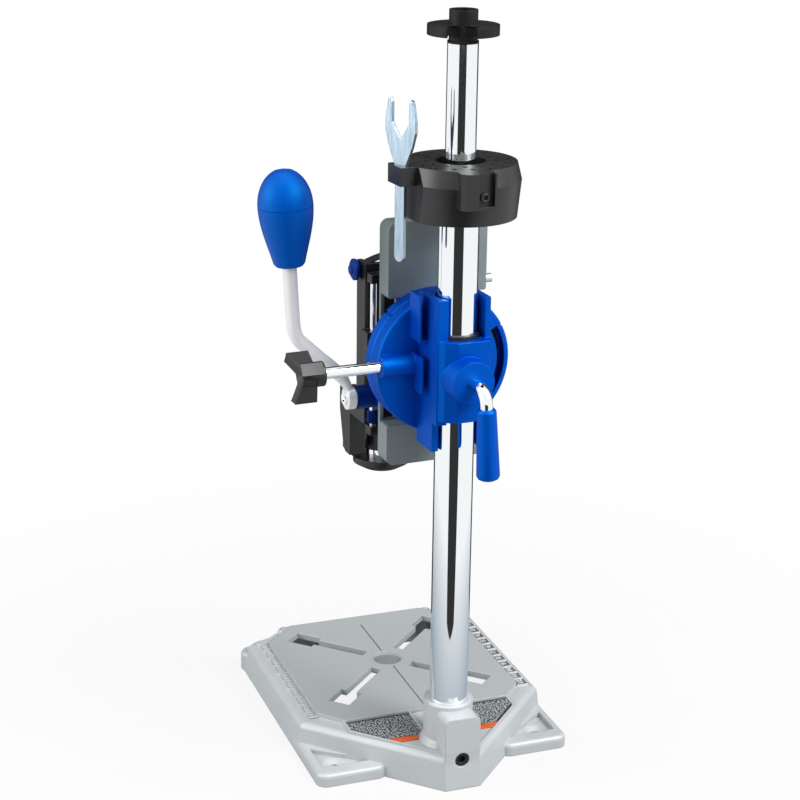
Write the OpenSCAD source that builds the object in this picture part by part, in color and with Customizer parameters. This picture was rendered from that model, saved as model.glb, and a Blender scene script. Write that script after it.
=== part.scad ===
// Drill stand for a rotary tool: table, telescoping column, swinging and tilting head, lever feed.
// Origin on the table's underside, below the drill axis. +Z is up, the column stands at +Y,
// and +X is the side that carries the feed lever.

/* [Base] */
// Width over the two ruler ledges
base_w = 176; // [160:1:200]
// Height of the table
table_z = 26; // [22:0.5:34]
// Width of the raised table
table_w = 148; // [130:1:152]
// How far the ruler ledges lie below the table
ledge_drop = 3; // [1:0.5:5]
// From the drill axis to the front edge
base_front = 75; // [65:1:90]
// From the drill axis to where the straight sides end
side_back = 70; // [60:1:78]
// Size of the 45 degree cut at the table's front corners
front_cut = 22; // [12:1:28]
// Wall of the hollow base
base_wall = 4; // [3:0.5:6]
// Thickness of the table's plate
plate_h = 4.6; // [4:0.2:6]
// Height of the rear ears
ear_h = 9; // [6:0.5:12]
// Distance between the two ear holes
ear_spacing = 147; // [130:1:160]
// Diameter of the ear holes
ear_hole_d = 8; // [4:0.1:9]
// Width of the keyhole slots
slot_w = 8; // [5:0.5:10]
// Width of the slots' wide outer ends
slot_head_w = 16; // [11:0.5:18]
// Length of the slots' wide outer ends
slot_head_len = 20; // [12:1:24]
// Radius at which the slots start
slot_start = 18; // [15:1:24]
// Radius at which the slots end
slot_end = 78; // [60:1:80]
// Diameter of the round recess below the drill
recess_d = 20.6; // [12:0.2:24]
// Wall of the column socket
socket_wall = 3.8; // [3:0.1:6]
// Height of the column socket
socket_z = 53.3; // [45:0.5:70]
// Width of the block behind the socket
socket_block_w = 24.6; // [18:0.2:30]
// From the column axis to the back of the socket block
socket_reach = 27.4; // [22:0.2:34]
// Height of the set screw
set_screw_z = 20.5; // [14:0.5:40]
// Diameter of the set screw
set_screw_d = 10; // [5:0.5:11]

/* [Column] */
// From the drill axis to the column axis
column_reach = 120.7; // [115:0.1:130]
// Outer diameter of the lower tube
column_d = 25.4; // [24:0.1:27]
// Wall of the lower tube
column_wall = 1.6; // [1.2:0.1:2]
// Height of the lower tube's upper end
column_top = 398; // [390:1:402]
// Depth of floor left below the tube in its socket
column_seat = 4; // [2:0.5:10]
// Outer diameter of the upper tube
upper_d = 19.05; // [17:0.05:20]
// Wall of the upper tube
upper_wall = 1.5; // [1:0.1:2.5]
// Height of the upper tube's upper end
upper_top = 486.5; // [470:1:620]
// Length of the upper tube
upper_len = 340; // [320:1:360]
// Length of the bush between the two tubes
bush_len = 22; // [12:1:40]

/* [Accessory ring] */
// How far the ring reaches down the lower tube
ring_grip = 16; // [12:0.5:18]
// Height of the ring
ring_h = 33.7; // [30:0.1:38]
// Widest diameter of the ring
ring_d = 75.4; // [72:0.2:76.6]
// Diameter of the hole round the upper tube
ring_hole_d = 31; // [28:0.5:34]
// How far the ring is turned on the column
ring_turn = 5; // [-10:1:15]
// Number of storage holes in the outer row
hole_count = 16; // [8:1:18]
// Diameter of the storage holes
hole_d = 3.4; // [2:0.1:4]
// Depth of the storage holes
hole_depth = 20; // [8:1:26]

/* [Wrench] */
// Length of the wrench
wrench_len = 99.5; // [90:0.5:110]
// Width of the wrench's stem
wrench_w = 7.5; // [7:0.5:10]
// Thickness of the wrench
wrench_t = 2.2; // [1.5:0.1:2.6]
// Width across the wrench's jaws
wrench_gap = 14; // [11:0.5:16]

/* [Head] */
// Height of the tilt axis
head_z = 281; // [240:0.5:281]
// How far the head is swung about the column
head_swing = 3; // [-10:0.5:10]
// Diameter of the two tilt discs
disc_d = 91.8; // [86:0.2:94]
// Thickness of each tilt disc
disc_t = 10.1; // [9.5:0.1:11]
// From the column axis to the rear disc's back
disc_back = 17.9; // [17.4:0.1:19]
// Wall of the liner between the column and the carriage
liner_wall = 1.5; // [1:0.1:2]
// Height of the clamping bridge
bridge_h = 52; // [44:1:58]
// Height of the carriage's guide walls
wall_h = 100; // [92:1:104]
// From the column axis to the clamp boss's face
boss_reach = 28; // [25:0.5:31]

/* [Locks] */
// Diameter of the clamp lever's rod
clamp_rod_d = 8; // [6:0.5:9]
// Length of the clamp lever's grip
clamp_grip_len = 46; // [36:1:54]
// Diameter of the tilt lock's rod
lock_rod_d = 7.4; // [6:0.1:8.4]
// Length of the tilt lock's rod outside the disc
lock_rod_len = 38.5; // [32:0.5:56]
// Radius of the tilt lock's three wings
lock_wing_r = 17.4; // [15:0.2:20.8]
// Width of the tilt lock's wings along the rod
lock_wing_w = 15; // [10:0.5:22]

/* [Tool holder] */
// Reach of the frame to the feed lever's side
frame_left = 30.5; // [30:0.5:33]
// Reach of the frame to the other side
frame_right = 38; // [32:0.5:40]
// From the tilt axis up to the frame's upper edge
frame_up = 89; // [80:1:96]
// From the tilt axis down to the frame's lower edge
frame_down = 73; // [70:1:84]
// Thickness of the frame's two blocks
block_t = 12; // [10:0.5:13]
// Thickness of the frame's front web
web_t = 3; // [2:0.5:4]
// Diameter of the guide rods
rod_d = 4.5; // [4:0.5:7]
// Sideways distance of each guide rod from the middle
rod_x = 24.7; // [23:0.1:26]

/* [Feed] */
// Module of the rack and pinion
tooth_module = 1.5; // [1.5:0.1:1.5]
// Teeth of the pinion
pinion_teeth = 14; // [14:1:14]
// Diameter of the pinion's shaft
shaft_d = 10; // [8:0.5:11]
// Diameter of the pinion's housing
housing_d = 15.6; // [14:0.1:16]
// Diameter of the feed lever's arm
arm_d = 9; // [6:0.2:9.4]
// Widest diameter of the feed lever's knob
knob_d = 35.2; // [28:0.2:40]
// Length of the feed lever's knob
knob_len = 62.4; // [50:1:72]

/* [Tool slide] */
// Width of the slide
slide_w = 57; // [54:0.5:60]
// From the tilt axis up to the slide's upper edge
slide_up = 52; // [50:1:58]
// From the tilt axis down to the nose seat's face
seat_down = 96; // [92:1:100]
// Diameter of the hole for the tool's nose
nose_d = 19.6; // [16:0.1:21]
// Outer diameter of the slotted nose nut
nut_d = 24.4; // [24:0.2:30]

/* [Clearances] */
// Radial clearance of a running fit
running = 0.05; // [0.02:0.01:0.1]
// Gap between faces that pass each other
gap = 0.3; // [0.2:0.05:0.4]

/* [Hidden] */
$fn = 64;

// Colours as the photo shows them
cast_grey = "#b9bbb9";
frame_grey = "#6f787c";
blue = "#1150b8";
dark_blue = "#0d2f7d";
black = "#232426";
chrome = "#d9dde0";
steel = "#b4b8bb";

// Small overlap that joins shapes of one solid
eps = 0.01;

// Base
ledge_z = table_z - ledge_drop;
table_back = side_back + 11.5;
table_rear_cut = 15;
skirt_flare = 2;
edge_round = 5;
corner_scoop_r = 20;
column_r = column_d/2;
socket_r = column_r + socket_wall;
socket_back = column_reach + socket_reach;
block_half = socket_block_w/2;
block_z = socket_z - 2.6;
socket_flare = 3.4;
ear_x = ear_spacing/2;
ear_y = column_reach - 19.7;
ear_r = 7;
ear_rear = ear_y + 12;
ear_floor = ear_h - 3.4;
ear_sink_d = 16.6;
ear_sink_z = 3.2;
ear_round = 3;
panel_top = table_z - 1;
panel_floor = table_z - 2.6;
inlay_t = 0.9;
stripe_y = column_reach - 8.5;
stripe_w = 5.8;
panel_lip = 3.9;
lip_w = 1.2;

// Column
upper_r = upper_d/2;
column_bore_r = column_r - column_wall;
bush_r = upper_r + running;

// Ring
ring_r = ring_d/2;
ring_z = column_top - ring_grip;
ring_top = ring_z + ring_h;
ring_part_z = ring_top - 10.5;
ring_flat = ring_r - 4.4;
loop_w = 18;
loop_d = 11;
loop_h = 11.4;
boss_turn = -4.5;
boss_x = [-6.3, 15.4];
boss_drop = 22;
clamp_boss_y = ring_r + 5.3;
pocket_half = 5;
pocket_y = clamp_boss_y - 4;
pocket_drop = 20;
ring_screw_z = ring_top - 15;
ring_screw_r = 1.9;

// Hanger
hanger_turn = -24;
hub_out_r = upper_r - 0.8;
hub_up = 19.8;
cup_floor = 9;
flange_z = upper_top + 5;
flange_h = 6;
flange_r = 21.8;
flange_slot = 9.5;
notch_half = 8.6;

// Wrench: its head rests on the loop
wrench_x = ring_flat + loop_d/2 + 1;
wrench_turn = 22;
wrench_rest = ring_top + 0.3;

// Head, in its own frame: X sideways, Y to the rear, Z from the tilt axis
liner_r = column_r + running + liner_wall;
carriage_bore = liner_r + running;
disc_r = disc_d/2;
disc_front = -(disc_back + disc_t);
tilt_back = disc_front - gap;
tilt_front = tilt_back - disc_t;
spigot_r = 12;
spigot_back = -(disc_back - 0.9);
wall_top = wall_h/2;
left_wall = [carriage_bore - 3.75, carriage_bore + 3.55];
right_wall = [-(carriage_bore + 3.25), -(carriage_bore - 0.45)];
bridge_mid = -2;
bridge_back = 19;
boss_r = 13.8;
boss_root = 12;
disc_edge = 1.6;
disc_gap_edge = 0.8;
pad_r = 7.5;
pad_t = 2.8;
pivot_r = 4;
pivot_head_r = 6.5;
pivot_head_t = 5;
arc_slot_r = 39.8;
arc_slot_w = 5.2;
arc_face = 2.2;
arc_hollow = [arc_slot_r - 6, disc_r - 1.9];

// Clamp lever
clamp_rod_r = clamp_rod_d/2;
clamp_bend = 9;
clamp_out = 45;
clamp_lean = 3;
clamp_grip_top = -11;
grip_bore = 8;
grip_low_r = 7.4;
grip_top_r = clamp_rod_r + 2.1;

// Tilt lock
lock_y = -16.5;
lock_z = 3;
lock_rod_r = lock_rod_d/2;
lock_boss_r = 7;
lock_boss_end = disc_r - 1.2;
lock_knob_x = lock_boss_end + lock_rod_len;
lock_hub_len = 5;
lock_hollow = 7;
nut_size = 11;
nut_t = 3;
nut_x = left_wall[1] + 0.2;

// Tool holder
frame_back = tilt_front;
block_front = frame_back - block_t;
web_front = block_front - web_t;
upper_block = frame_up - 49;
lower_block = -(frame_down - 27.5);
frame_round = 5.5;
block_round = 1.5;
window = [20, frame_left - 2.5];
frame_boss_r = 25;
screw_ring = 18;
screw_r = 2;
screw_head_r = 3.5;
screw_head_t = 3;
screw_grip = 6;
hex_depth = 2;
side_screw_y = (frame_back + block_front)/2;
side_screw_z = [upper_block + 6, -frame_down + 5];
side_screw_len = 11;
side_head_r = 2.9;
side_head_t = 6;

// Feed
pitch_r = tooth_module*pinion_teeth/2;
tooth_up = 0.87*tooth_module;
tooth_down = 1.1*tooth_module;
tooth_pitch = PI*tooth_module;
tooth_half = 0.21*tooth_pitch;
shaft_r = shaft_d/2;
pinion_y = web_front - gap - pitch_r - tooth_up;
pinion_z = -32.8;
pinion_w = 9;
pinion_x = 5.5;
housing_r = housing_d/2;
housing_x = [18, 42.1];
rack_y = pinion_y - pitch_r;

// Guide rods
rod_r = rod_d/2;
rod_y = rack_y - 1;
plate_t = 6;
plate_half = rod_x + rod_r + 1.4;
plate_neck = 20;
plate_top = 41;
plate_low = -63.5;
stop_r = 4;
stop_z = [-56, -47];

// Tool slide
slide_half = slide_w/2;
slide_back = rod_y - 5.5;
slide_t = 3.5;
slide_wall = 3.5;
slide_wall_front = slide_back - 14.5;
slide_low = -58;
arm_top = -45;
arm_link = -59;
arm_low = -89.5;
arm_front = -(column_reach + 6.7);
arm_back = -(column_reach - 12.2);
arm_in = 17.2;
lug_z = [-22.5, 8];
lug_rear = rod_y + rod_r + 1.4;
lug_half = 5.7;
rack_z = [-42, 0];
tool_y = -column_reach;
nose_r = nose_d/2;
nut_r = nut_d/2;
nut_h = 6.2;
sleeve_h = 18;
seat_r = 19.8;
seat_t = 4.6;
seat_dome = 3.8;
strap_rise = 5;
strap_t = 1.6;
strap_w = 8;
thumb_y = slide_wall_front + 3.4;
thumb_z = 46;
thumb_r = 2.2;
thumb_wheel_r = 7.2;

// Feed lever: points of its arm, sideways and up from the tilt axis
hub_x = [housing_x[1] + 0.9, housing_x[1] + 6.4];
hub_r = 7.4;
lever_screw_r = 2;
lever_head_r = 3.7;
lever_head_t = 1.8;
knob_lean = 3.7;
arm_points = [[45.8, -28], [49.6, -20.4], [56.8, -12], [66.5, -3.2], [76.6, 6.2], [81.7, 11.4],
    [84.2, 18], [85, 26.6], [85.8, 39.1], [87, 60.7]];
knob_base = arm_points[len(arm_points) - 1];

module in_head() translate([0, column_reach, head_z]) rotate(head_swing) children();

module on_column() translate([0, column_reach, 0]) children();

module at_ring() on_column() rotate(ring_turn) children();

// Cylinder from one Y to another
module along_y(r, y0, y1, x = 0, z = 0) translate([x, y1, z]) rotate([90, 0, 0]) cylinder(r = r, h = y1 - y0);

// Cylinder from one X to another
module along_x(r, x0, x1, y = 0, z = 0) translate([x0, y, z]) rotate([0, 90, 0]) cylinder(r = r, h = x1 - x0);

// Box between two corners
module box(a, b) translate(a) cube([b[0] - a[0], b[1] - a[1], b[2] - a[2]]);

// Flat rectangle between two corners with round corners
module round_rect(a, b, r) {
    translate([a[0] + r, a[1]]) square([b[0] - a[0] - 2*r, b[1] - a[1]]);
    translate([a[0], a[1] + r]) square([b[0] - a[0], b[1] - a[1] - 2*r]);
    for (x = [a[0] + r, b[0] - r], y = [a[1] + r, b[1] - r]) translate([x, y]) circle(r);
}

// Flat rectangle whose two lower and two upper corners have their own radius
module two_round_rect(a, b, low, high) {
    mid = (a[1] + b[1])/2;
    round_rect(a, [b[0], mid + low], low);
    round_rect([a[0], mid - high], b, high);
}

// Tilt disc from one Y to another, with a bevelled front and a rounded rear edge
module disc(y0, y1, front, rear) translate([0, y0, 0]) rotate([-90, 0, 0]) rotate_extrude($fn = 128)
    polygon(concat([[0, 0], [disc_r - front, 0], [disc_r, front]],
        [for (a = [0:22.5:90]) [disc_r - rear + rear*cos(a), y1 - y0 - rear + rear*sin(a)]], [[0, y1 - y0]]));

// Hexagon recess seen from the front, or from the rear when the depth points that way
module hex_y(r, depth, x, y, z) translate([x, y, z]) rotate([90, 0, 0]) cylinder(r = r, h = depth, $fn = 6);

// Shape drawn in X and Z, from one Y to another
module upright(y0, y1) translate([0, y1, 0]) rotate([90, 0, 0]) linear_extrude(y1 - y0) children();

// Outline of the base, drawn in by a margin: front corners, sides and the two rear diagonals
function base_outline(m) = let (h = base_w/2 - m, f = base_front - m, c = 14)
    [[-h + c, -f], [h - c, -f], [h, -f + c], [h, side_back - 0.4*m], [block_half, socket_back - m],
        [-block_half, socket_back - m], [-h, side_back - 0.4*m], [-h, -f + c]];

// Outline of the raised table, drawn in by a margin
function table_outline(m) = let (h = table_w/2 - m, f = base_front - 0.6 - m, b = table_back - m)
    let (c = front_cut, r = table_rear_cut)
    [[-h + c, -f], [h - c, -f], [h, -f + c], [h, b - r - 1.5], [h - r, b],
        [-h + r, b], [-h, b - r - 1.5], [-h, -f + c]];

// Outline of the panel on one side of the socket
function panel_outline(m) = let (h = table_w/2 - table_rear_cut)
    let (slope = (socket_back - side_back)/(base_w/2 - block_half), lip = panel_lip*1.6)
    let (back = function (x) side_back + slope*(base_w/2 - x) - lip)
    [[block_half + 1 + m, table_back + m], [h - m, table_back + m], [h - m, back(h) - m],
        [block_half + 1 + m, back(block_half + 1) - 1.4*m]];

// One keyhole slot along +X
module keyhole() {
    translate([slot_start, -slot_w/2]) square([slot_end - slot_start - eps, slot_w]);
    translate([slot_end - slot_head_len, -slot_head_w/2]) square([slot_head_len, slot_head_w]);
}

// Round socket with a flared foot
module socket() on_column() rotate_extrude() polygon([[0, 0], [socket_r + socket_flare, 0],
    [socket_r + socket_flare, ledge_z - 1], [socket_r, ledge_z + 5], [socket_r, socket_z], [0, socket_z]]);

module socket_block() {
    upright(column_reach, socket_back) round_rect([-block_half, 10], [block_half, block_z], 4);
    box([-block_half, column_reach, 0], [block_half, socket_back, 20]);
}

// Scooped front corners, or the wall round them
module corner_scoops(grow) for (side = [-1, 1])
    translate([side*(base_w/2 - 8), -base_front - 8, -2])
        cylinder(r = corner_scoop_r + grow, h = table_z + 4);

// Rounded posts at the two ends of each scoop
module corner_posts() for (side = [-1, 1]) {
    translate([side*(base_w/2 - 5.5), -base_front + 7, 0]) round_post(8.5, 14);
    translate([side*(base_w/2 - 32), -base_front + 3, 0]) round_post(5.5, table_z - 0.5);
}

module round_post(r, h) rotate_extrude()
    polygon(concat([[0, 0], [r, 0]], [for (a = [0:15:90]) [r - 3 + 3*cos(a), h - 3 + 3*sin(a)]], [[0, h]]));

// Round foot whose upper edge is rounded
module ear_foot() for (a = [0:30:90])
    cylinder(r = ear_r - ear_round*(1 - cos(a)), h = ear_h - ear_round*(1 - sin(a)), $fn = 32);

// Ear on the +X side: a rounded rim all round a pocket
module ear() difference() {
    hull() for (p = [[ear_x + 9.5, ear_rear], [ear_x + 9.5, side_back - 8], [ear_x - 25, ear_rear]])
        translate([p[0], p[1], 0]) ear_foot();
    translate([0, 0, ear_floor]) linear_extrude(ear_h)
        polygon([[ear_x + 11, ear_y - 19], [ear_x + 11, ear_y + 7], [ear_x - 27, ear_y + 8.5]]);
}

// Ear hole with its countersink, up through everything above it
module ear_hole() translate([ear_x, ear_y, 0]) rotate_extrude() polygon([[0, -1], [ear_hole_d/2, -1],
    [ear_hole_d/2, ear_sink_z], [ear_sink_d/2, ear_floor], [ear_sink_d/2, table_z], [0, table_z]]);

// Skirt with rounded upper edge
module skirt() hull() {
    linear_extrude(1) polygon(base_outline(-skirt_flare));
    for (a = [0:18:90]) translate([0, 0, ledge_z - edge_round*(1 - sin(a)) - eps]) linear_extrude(eps)
        polygon(base_outline(edge_round*(1 - cos(a))));
}

// Skirt, table and panels with a hollow underside
module base_shell() difference() {
    union() {
        skirt();
        translate([0, 0, ledge_z - 1]) linear_extrude(ledge_drop + 1) polygon(table_outline(0));
        // Raised border of the panels
        mirror_pair() translate([0, 0, ledge_z - 1]) linear_extrude(panel_top - ledge_z + 1)
            polygon(panel_outline(-lip_w));
    }
    difference() {
        union() {
            translate([0, 0, -1]) linear_extrude(ledge_z - base_wall + 1) polygon(base_outline(base_wall));
            translate([0, 0, 1]) linear_extrude(table_z - plate_h - 1) polygon(table_outline(base_wall + 2));
        }
        corner_scoops(base_wall);
    }
    corner_scoops(0);
    mirror_pair() translate([0, 0, panel_floor]) linear_extrude(ledge_drop + 4) polygon(panel_outline(0));
}

module base() color(cast_grey) difference() {
    union() {
        base_shell();
        corner_posts();
        socket();
        socket_block();
        mirror_pair() ear();
    }
    mirror_pair() ear_hole();
    // Slots, recess and centre line
    translate([0, 0, -1]) linear_extrude(table_z + 2) for (a = [45:90:315]) rotate(a) keyhole();
    translate([0, 0, table_z - 2]) cylinder(d = recess_d, h = 3);
    for (y = [[-base_front + 14, -recess_d/2 - 2], [recess_d/2 + 2, table_back]])
        box([-0.5, y[0], table_z - 0.6], [0.5, y[1], table_z + 1]);
    // Socket bore and set screw hole
    on_column() translate([0, 0, column_seat]) cylinder(r = column_r + running, h = socket_z);
    along_y(set_screw_d/2 + running, column_reach, socket_back + 1, 0, set_screw_z);
}

// Sheet on one panel's floor, from one Y to another
module panel_sheet(y0, y1) mirror_pair() translate([0, 0, panel_floor]) linear_extrude(inlay_t)
    intersection() {
        difference() {
            polygon(panel_outline(gap));
            on_column() circle(socket_r + socket_flare);
        }
        translate([0, y0]) square([base_w, y1 - y0]);
    }

module mirror_pair() for (side = [0, 1]) mirror([side, 0, 0]) children();

module panel_inlays() color("#4a4d50") panel_sheet(0, stripe_y);

module panel_stripes() color("#d2691e") panel_sheet(stripe_y, stripe_y + stripe_w);

module socket_set_screw() color(black) difference() {
    along_y(set_screw_d/2, column_reach + column_r + gap, socket_back - 1.2, 0, set_screw_z);
    hex_y(set_screw_d/3.6, 4, 0, socket_back - 1.1, set_screw_z);
}

module lower_column() color(chrome) on_column() translate([0, 0, column_seat]) difference() {
    cylinder(r = column_r, h = column_top - column_seat);
    translate([0, 0, -1]) cylinder(r = column_bore_r, h = column_top);
}

module column_bush() color(black) on_column() translate([0, 0, column_top - bush_len]) difference() {
    cylinder(r = column_bore_r, h = bush_len);
    translate([0, 0, -1]) cylinder(r = bush_r, h = bush_len + 2);
}

module ring_body() {
    translate([0, 0, ring_z]) cylinder(r1 = ring_r - 2.2, r2 = ring_r, h = ring_part_z - ring_z);
    translate([0, 0, ring_part_z]) cylinder(r1 = ring_r, r2 = ring_r - 2.7, h = ring_top - ring_part_z);
}

module at_boss() at_ring() rotate(boss_turn) children();

module ring_shell() at_ring() difference() {
    ring_body();
    box([ring_flat, -ring_r, ring_z - 1], [ring_r + 2, ring_r, ring_top + 1]);
}

module storage_hole(a, r) rotate(a) translate([r, 0, ring_top - hole_depth])
    cylinder(d = hole_d, h = hole_depth + 1);

module accessory_ring() color(black) difference() {
    union() {
        ring_shell();
        at_ring() box([ring_flat - 2, -loop_w/2, ring_top - loop_h],
            [ring_flat + loop_d, loop_w/2, ring_top]);
        at_boss() translate([0, 0, ring_top - boss_drop]) linear_extrude(boss_drop)
            polygon([[boss_x[0], 0], [boss_x[0], clamp_boss_y], [boss_x[1] - 3, clamp_boss_y],
                [boss_x[1], clamp_boss_y - 3], [boss_x[1], 0]]);
    }
    on_column() translate([0, 0, ring_z - 1]) cylinder(r = column_r + running, h = ring_h);
    on_column() translate([0, 0, column_top]) cylinder(r = ring_hole_d/2, h = ring_top);
    // Slot that holds the wrench
    at_wrench() box([-wrench_t/2 - gap, -wrench_w/2 - 0.8, ring_z],
        [wrench_t/2 + gap, wrench_w/2 + 0.8, ring_top + 1]);
    // Storage holes in two rows
    at_ring() for (i = [0:hole_count - 1]) storage_hole(360*(i + 0.5)/hole_count, ring_r - 8.5);
    at_boss() for (i = [0:hole_count - 5]) storage_hole(45 + 360*i/(hole_count - 4), ring_r - 16.5);
    // Open-topped pocket and hole for the clamp screw
    at_boss() box([-pocket_half, pocket_y, ring_top - pocket_drop],
        [pocket_half, clamp_boss_y + 1, ring_top + 1]);
    at_boss() along_y(ring_screw_r + running, 0, clamp_boss_y, 0, ring_screw_z);
}

module ring_clamp_screw() color(black) at_boss() difference() {
    union() {
        along_y(ring_screw_r, upper_r + gap, pocket_y, 0, ring_screw_z);
        along_y(1.5*ring_screw_r, pocket_y, pocket_y + 1.6, 0, ring_screw_z);
    }
    hex_y(0.8*ring_screw_r, 2.4, 0, pocket_y + 2, ring_screw_z);
}

module upper_column() color(chrome) on_column() translate([0, 0, upper_top - upper_len]) difference() {
    cylinder(r = upper_r, h = upper_len);
    translate([0, 0, -1]) cylinder(r = upper_r - upper_wall, h = upper_len + 2);
}

// Flange with an open side, where the hub's middle rib shows
module hanger_flange() difference() {
    translate([0, 0, flange_z]) cylinder(r = flange_r, h = flange_h);
    box([-notch_half, hub_out_r - 1, flange_z - 1], [notch_half, flange_r + 1, flange_z + flange_h + 1]);
}

// Plug in the upper tube with a cup and a slotted flange
module top_hanger() color(black) on_column() rotate(hanger_turn) difference() {
    union() {
        translate([0, 0, upper_top]) cylinder(r = hub_out_r, h = hub_up);
        translate([0, 0, upper_top]) cylinder(r = upper_r, h = 1.4);
        translate([0, 0, upper_top - 16]) cylinder(r = upper_r - upper_wall - running, h = 17);
        hanger_flange();
    }
    translate([0, 0, upper_top + cup_floor]) cylinder(r = hub_out_r - 1.4, h = hub_up);
    for (side = [-1, 1]) {
        box([side*flange_r - flange_slot, -1.2, flange_z - 1],
            [side*flange_r + flange_slot, 1.2, flange_z + flange_h + 1]);
        // Hollows beside the middle rib
        box([side*4.2 - 2.9, hub_out_r - 2, flange_z - 1],
            [side*4.2 + 2.9, hub_out_r + 4, flange_z + flange_h - 0.6]);
    }
}

module at_wrench() at_ring() translate([wrench_x, 0, 0]) rotate(wrench_turn) children();

module wrench() color(steel) at_wrench() {
    g = wrench_gap/2;
    o = g + 5.1;
    s = wrench_w/2;
    z = wrench_rest;
    tip = z + 39.5;
    low = tip - wrench_len + s;
    translate([-wrench_t/2, 0, 0]) rotate([90, 0, 90]) linear_extrude(wrench_t)
        polygon(concat([[-s, z - 2], [-s - 0.9, z], [-o + 2.6, z + 11], [-o, z + 20], [-o, z + 27],
            [-g - 3, tip - 1], [-g - 1.2, tip], [-g, tip - 2.6], [-g, z + 25], [0, z + 14.5], [g, z + 25],
            [g, tip - 2.6], [g + 1.2, tip], [g + 3, tip - 1], [o, z + 27], [o, z + 20], [o - 2.6, z + 11],
            [s + 0.9, z], [s, z - 2]],
            [for (a = [0:22.5:180]) [s*cos(a), low - s*sin(a)]]));
}

module column_liner() color(black) in_head() translate([0, 0, bridge_mid - bridge_h/2]) difference() {
    cylinder(r = liner_r, h = bridge_h + 2.6);
    translate([0, 0, -1]) cylinder(r = column_r + running, h = bridge_h + 5);
}

// Rib beside the left guide wall, from the disc to the rear
module side_rib(x, t, y1, z0, z1) box([x, -disc_back - 1, z0], [x + t, y1, z1]);

module carriage() color(blue) in_head() difference() {
    union() {
        disc(disc_front, -disc_back, disc_gap_edge, disc_edge);
        // Guide walls and the hub between the disc and the column
        box([left_wall[0], -disc_back - 1, -wall_top], [left_wall[1], 5, wall_top]);
        box([left_wall[0], 0, bridge_mid - bridge_h/2 - 3], [left_wall[1], 11, wall_top]);
        box([right_wall[0], -disc_back - 1, -wall_top], [right_wall[1], 5, wall_top]);
        box([right_wall[0], 0, bridge_mid - bridge_h/2 - 3], [right_wall[1], 12, wall_top]);
        box([right_wall[0], -disc_back - 1, -wall_top], [left_wall[1], -2, wall_top]);
        // Bridge behind the column and the clamp boss
        translate([0, 0, bridge_mid - bridge_h/2]) linear_extrude(bridge_h)
            polygon([[right_wall[0], 0], [right_wall[0], 14], [right_wall[0] + 3, bridge_back],
                [7, bridge_back], [14, bridge_back - 4.5], [left_wall[1], 10], [left_wall[1], 0]]);
        translate([0, boss_reach, 0]) rotate([90, 0, 0])
            cylinder(r1 = boss_r, r2 = boss_r + 2, h = boss_reach - boss_root);
        // Radial boss, nut trap and pocket on the feed lever's side
        along_x(lock_boss_r, left_wall[1] - 1, lock_boss_end, lock_y, lock_z);
        side_rib(nut_x + nut_t + 0.4, 1.6, -1, lock_z - 16, lock_z + 7.5);
        side_rib(left_wall[1] + 4.4, 1.6, -3, 20, wall_top);
        box([left_wall[1] - 1, -disc_back - 1, 20], [left_wall[1] + 5.9, -3, 21.6]);
    }
    // Column bore, open to the rear above and below the bridge
    translate([0, 0, -wall_top - 1]) cylinder(r = carriage_bore, h = wall_h + 2);
    // Spigot, pivot bolt, clamp screw and its pad
    along_y(spigot_r + running, disc_front - 1, spigot_back + gap);
    along_y(pivot_r + running, disc_front, 0);
    along_y(clamp_rod_r + running, 0, boss_reach + 1);
    along_y(pad_r + running, 0, liner_r + gap + pad_t);
    // Tilt lock's rod and nut
    along_x(lock_rod_r + running, 0, lock_boss_end + 4, lock_y, lock_z);
    box([left_wall[1], lock_y - nut_size/2 - 0.1, lock_z - nut_size/2 - 0.1],
        [nut_x + nut_t + 0.4, 1, lock_z + nut_size/2 + 0.1]);
    // Arc slot and pointer notch in the rear disc
    translate([0, -disc_back, 0]) rotate([90, 0, 0]) {
        rotate(150) rotate_extrude(angle = 64)
            translate([arc_slot_r - arc_slot_w/2, -1]) square([arc_slot_w, disc_t + 2]);
        // Wider behind the disc's face
        rotate(145) rotate_extrude(angle = 74)
            translate([arc_hollow[0], arc_face]) square([arc_hollow[1] - arc_hollow[0], disc_t]);
    }
    rotate([0, -152, 0]) translate([disc_r, -disc_back + 1, 0]) rotate([90, 0, 0]) linear_extrude(4)
        polygon([[-3.5, 0], [1, -2], [1, 2]]);
}

module clamp_pad() color(black) in_head() along_y(pad_r, liner_r + gap, liner_r + gap + pad_t - 0.1);

module tilt_lock_nut() color(steel) in_head() difference() {
    box([nut_x, lock_y - nut_size/2, lock_z - nut_size/2],
        [nut_x + nut_t, lock_y + nut_size/2, lock_z + nut_size/2]);
    along_x(lock_rod_r + running, 0, nut_x + nut_t + 1, lock_y, lock_z);
}

module pivot_bolt() color(steel) in_head() {
    along_y(pivot_r, tilt_front + pivot_head_t, -liner_r - 0.9);
    difference() {
        along_y(pivot_head_r, tilt_front + 0.2, tilt_front + pivot_head_t);
        hex_y(3.4, 4, 0, tilt_front + 3, 0);
    }
}

module clamp_lever_rod() color(chrome) in_head() rotate([0, clamp_lean, 0]) {
    bend_y = clamp_out - clamp_bend;
    rod_low = clamp_grip_top - clamp_grip_len + grip_bore;
    along_y(clamp_rod_r, liner_r + gap + pad_t + 0.1, bend_y);
    translate([0, bend_y, -clamp_bend]) rotate([0, 90, 0]) rotate(90) rotate_extrude(angle = 90)
        translate([clamp_bend, 0]) circle(clamp_rod_r);
    translate([0, clamp_out, rod_low]) cylinder(r = clamp_rod_r, h = -clamp_bend - rod_low);
}

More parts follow.
